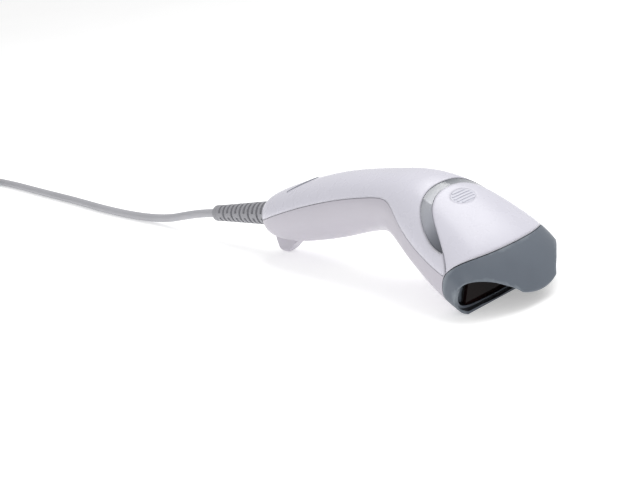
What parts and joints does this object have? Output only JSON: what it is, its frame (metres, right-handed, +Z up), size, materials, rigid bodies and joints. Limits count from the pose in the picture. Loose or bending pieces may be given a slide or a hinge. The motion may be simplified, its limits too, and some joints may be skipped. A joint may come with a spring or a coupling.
{
  "type": "handheld barcode scanner",
  "caption": "Corded handheld barcode scanner: curved handle, wide drooping head with a dark visor over a tilted window, U-shaped light pipe round a rocking scan button, slotted cable boot.",
  "frame": {"origin": "middle of the base of scanner and boot, on the surface it rests on", "axes": "+X forward along the handle to the visor, +Y to the left, +Z up"},
  "size_m": [0.5461, 0.1031, 0.0498],
  "materials": {
    "cover_plastic": "satin",
    "lower_plastic": "satin",
    "hood_plastic": "satin",
    "smoke_plastic": "polished",
    "window_glass": "polished",
    "rubber": "matte",
    "grip_plastic": "satin",
    "insert_plastic": "satin",
    "label_film": "satin",
    "cord_jacket": "matte",
    "clear_plastic": "polished",
    "black_plastic": "matte",
    "gold": "polished",
    "board_green": "satin",
    "can_metal": "satin",
    "sleeve_dark": "satin",
    "ceramic": "matte",
    "screw_steel": "plated",
    "lamp_lens": "polished",
    "engine_metal": "cast",
    "mirror_glass": "polished",
    "magnet": "nickel",
    "brass": "machined",
    "copper": "enamelled",
    "filter_glass": "polished",
    "flex_film": "satin",
    "tie_plastic": "satin",
    "plug_steel": "plated"
  },
  "bodies": {
    "housing": {"top_cover": "cover_plastic", "bottom_cover": "lower_plastic", "hood": "hood_plastic", "exit_window": "window_glass", "window_gasket": "rubber", "light_pipe_left": "smoke_plastic", "light_pipe_right": "smoke_plastic", "handle_insert": "insert_plastic", "belly_label": "label_film", "cable_boot": "cord_jacket", "cable_plug": "clear_plastic", "plug_contacts": "gold", "cable_jack": "black_plastic", "jack_contacts": "gold", "main_board": "board_green", "decoder_chip": "black_plastic", "interface_chip": "black_plastic", "memory_chip": "black_plastic", "crystal_can": "can_metal", "capacitors": "sleeve_dark", "small_components": "ceramic", "beeper": "black_plastic", "board_screws": "screw_steel", "housing_screws": "screw_steel", "switch_board": "board_green", "trigger_switch": "black_plastic", "status_lamps": "lamp_lens", "engine_chassis": "engine_metal", "mirror_pin": "screw_steel", "drive_coil": "copper", "coil_core": "magnet", "laser_barrel": "brass", "laser_lens": "clear_plastic", "collector_mirror": "mirror_glass", "photodiode": "black_plastic", "optical_filter": "filter_glass", "engine_board": "board_green", "engine_screws": "screw_steel", "flex_cable": "flex_film", "cord_tube": "cord_jacket", "cord_coil": "cord_jacket", "cord_tail": "cord_jacket", "cord_tie": "tie_plastic", "usb_overmould": "cord_jacket", "usb_shell": "plug_steel", "usb_tongue": "black_plastic", "usb_contacts": "gold"},
    "button": {"scan_button": "cover_plastic", "button_grip": "grip_plastic"},
    "plunger": {"switch_plunger": "grip_plastic"},
    "mirror": {"scan_mirror": "mirror_glass", "mirror_carrier": "black_plastic", "mirror_magnet": "magnet"}
  },
  "joints": [
    {"name": "button_rock", "type": "hinge", "parent": "housing", "child": "button", "pos_m": [0.0917, 0, 0.023], "axis": [0, -1, 0], "range_deg": [0, 1], "stiffness_Nm_per_rad": 2.6, "springref_deg": -0.34},
    {"name": "plunger_slide", "type": "slide", "parent": "housing", "child": "plunger", "axis": [-0.5736, 0, -0.8192], "range_m": [0, 0.00056]},
    {"name": "mirror_swing", "type": "hinge", "parent": "housing", "child": "mirror", "pos_m": [0.06683, 0.0045, 0.02251], "axis": [0.5736, 0, 0.8192], "range_deg": [-12, 12], "stiffness_Nm_per_rad": 0.001}
  ],
  "couplings": [
    {"joint": "plunger_slide", "follows": "button_rock", "m_per_rad": 0.0301}
  ]
}
